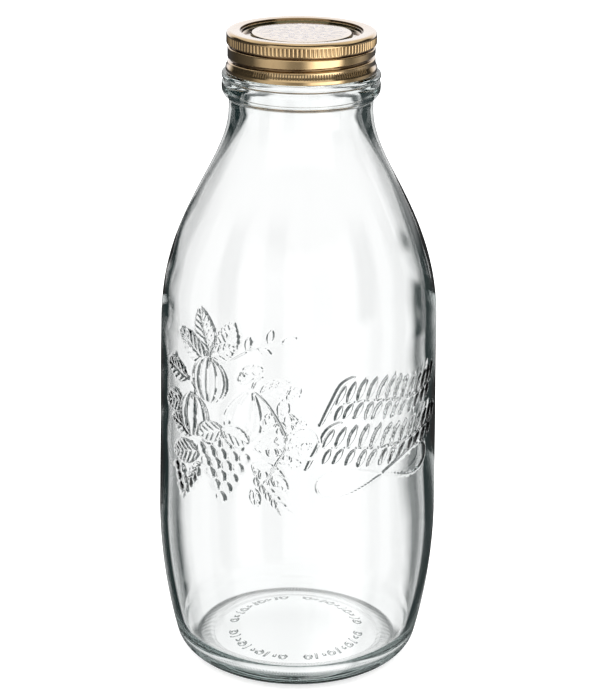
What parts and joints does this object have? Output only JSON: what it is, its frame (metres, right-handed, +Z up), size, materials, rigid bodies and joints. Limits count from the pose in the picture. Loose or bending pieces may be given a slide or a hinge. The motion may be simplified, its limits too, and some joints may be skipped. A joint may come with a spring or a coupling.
{
  "type": "glass milk bottle",
  "caption": "Clear glass milk bottle with a wide neck, collar and threaded mouth, closed by a gold screw band over a lined disc.",
  "frame": {"origin": "centre of the base's contact ring, on the surface the bottle stands on", "axes": "+Z up along the bottle's axis; -Y is the front, where the pictured relief is; the thread is right-handed about +Z"},
  "size_m": [0.1048, 0.1048, 0.24],
  "materials": {
    "clear_glass": "clear and glossy, faint green at the edges",
    "gold_band": "satin gold lacquer on tinplate",
    "gold_disc": "satin gold lacquer with a pale printed panel",
    "sealing_compound": "matt soft sealing compound"
  },
  "bodies": {
    "bottle": {"glass_bottle": "clear_glass"},
    "lid": {"lid_disc": "gold_disc", "sealing_ring": "sealing_compound"},
    "band": {"screw_band": "gold_band"}
  },
  "joints": [
    {"name": "closure_rise", "type": "slide", "parent": "bottle", "child": "lid", "axis": [0, 0, 1], "range_m": [0, 0.0144]},
    {"name": "band_turn", "type": "hinge", "parent": "lid", "child": "band", "pos_m": [0, 0, 0.2373], "axis": [0, 0, 1], "range_deg": [0, 1440]}
  ],
  "couplings": [
    {"joint": "closure_rise", "follows": "band_turn", "m_per_rad": 0.00057296}
  ]
}
